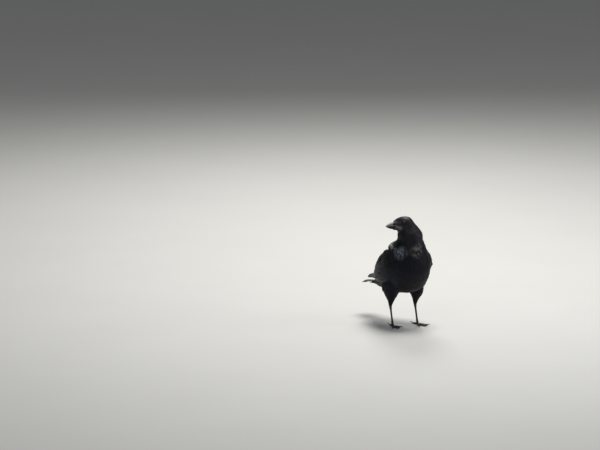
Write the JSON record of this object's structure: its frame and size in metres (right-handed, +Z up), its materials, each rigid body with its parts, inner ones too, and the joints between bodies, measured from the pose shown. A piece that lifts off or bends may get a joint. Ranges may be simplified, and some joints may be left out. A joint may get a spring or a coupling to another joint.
{
  "type": "carrion crow",
  "caption": "Life-size still model of a black carrion crow standing on both feet, with its head turned to its right and its wings folded.",
  "frame": {"origin": "on the floor, under the middle of the bird's box, between and a little behind the feet", "axes": "+Z up; the body faces -Y; +X is the bird's left; the head is turned to the bird's right"},
  "size_m": [0.1552, 0.2916, 0.339],
  "materials": {
    "plumage": "satin black contour feathers with a faint blue and purple gloss",
    "flight_feather": "smooth black flight and tail feathers with a blue and purple gloss",
    "horn": "dark slate horn with a soft grey gloss",
    "eye": "very dark brown, wet and polished",
    "leg_scale": "black scaled skin with a dull sheen"
  },
  "bodies": {
    "root": {"bill_lower": "horn", "bill_upper": "horn", "claw_hind_left": "horn", "claw_hind_right": "horn", "claw_inner_left": "horn", "claw_inner_right": "horn", "claw_middle_left": "horn", "claw_middle_right": "horn", "claw_outer_left": "horn", "claw_outer_right": "horn", "eye_left": "eye", "eye_right": "eye", "head": "plumage", "neck": "plumage", "primaries_left": "flight_feather", "primaries_right": "flight_feather", "shank_left": "leg_scale", "shank_right": "leg_scale", "tail": "flight_feather", "thigh_left": "plumage", "thigh_right": "plumage", "toe_hind_left": "leg_scale", "toe_hind_right": "leg_scale", "toe_inner_left": "leg_scale", "toe_inner_right": "leg_scale", "toe_middle_left": "leg_scale", "toe_middle_right": "leg_scale", "toe_outer_left": "leg_scale", "toe_outer_right": "leg_scale", "trunk": "plumage", "wing_left": "plumage", "wing_right": "plumage"}
  },
  "joints": []
}
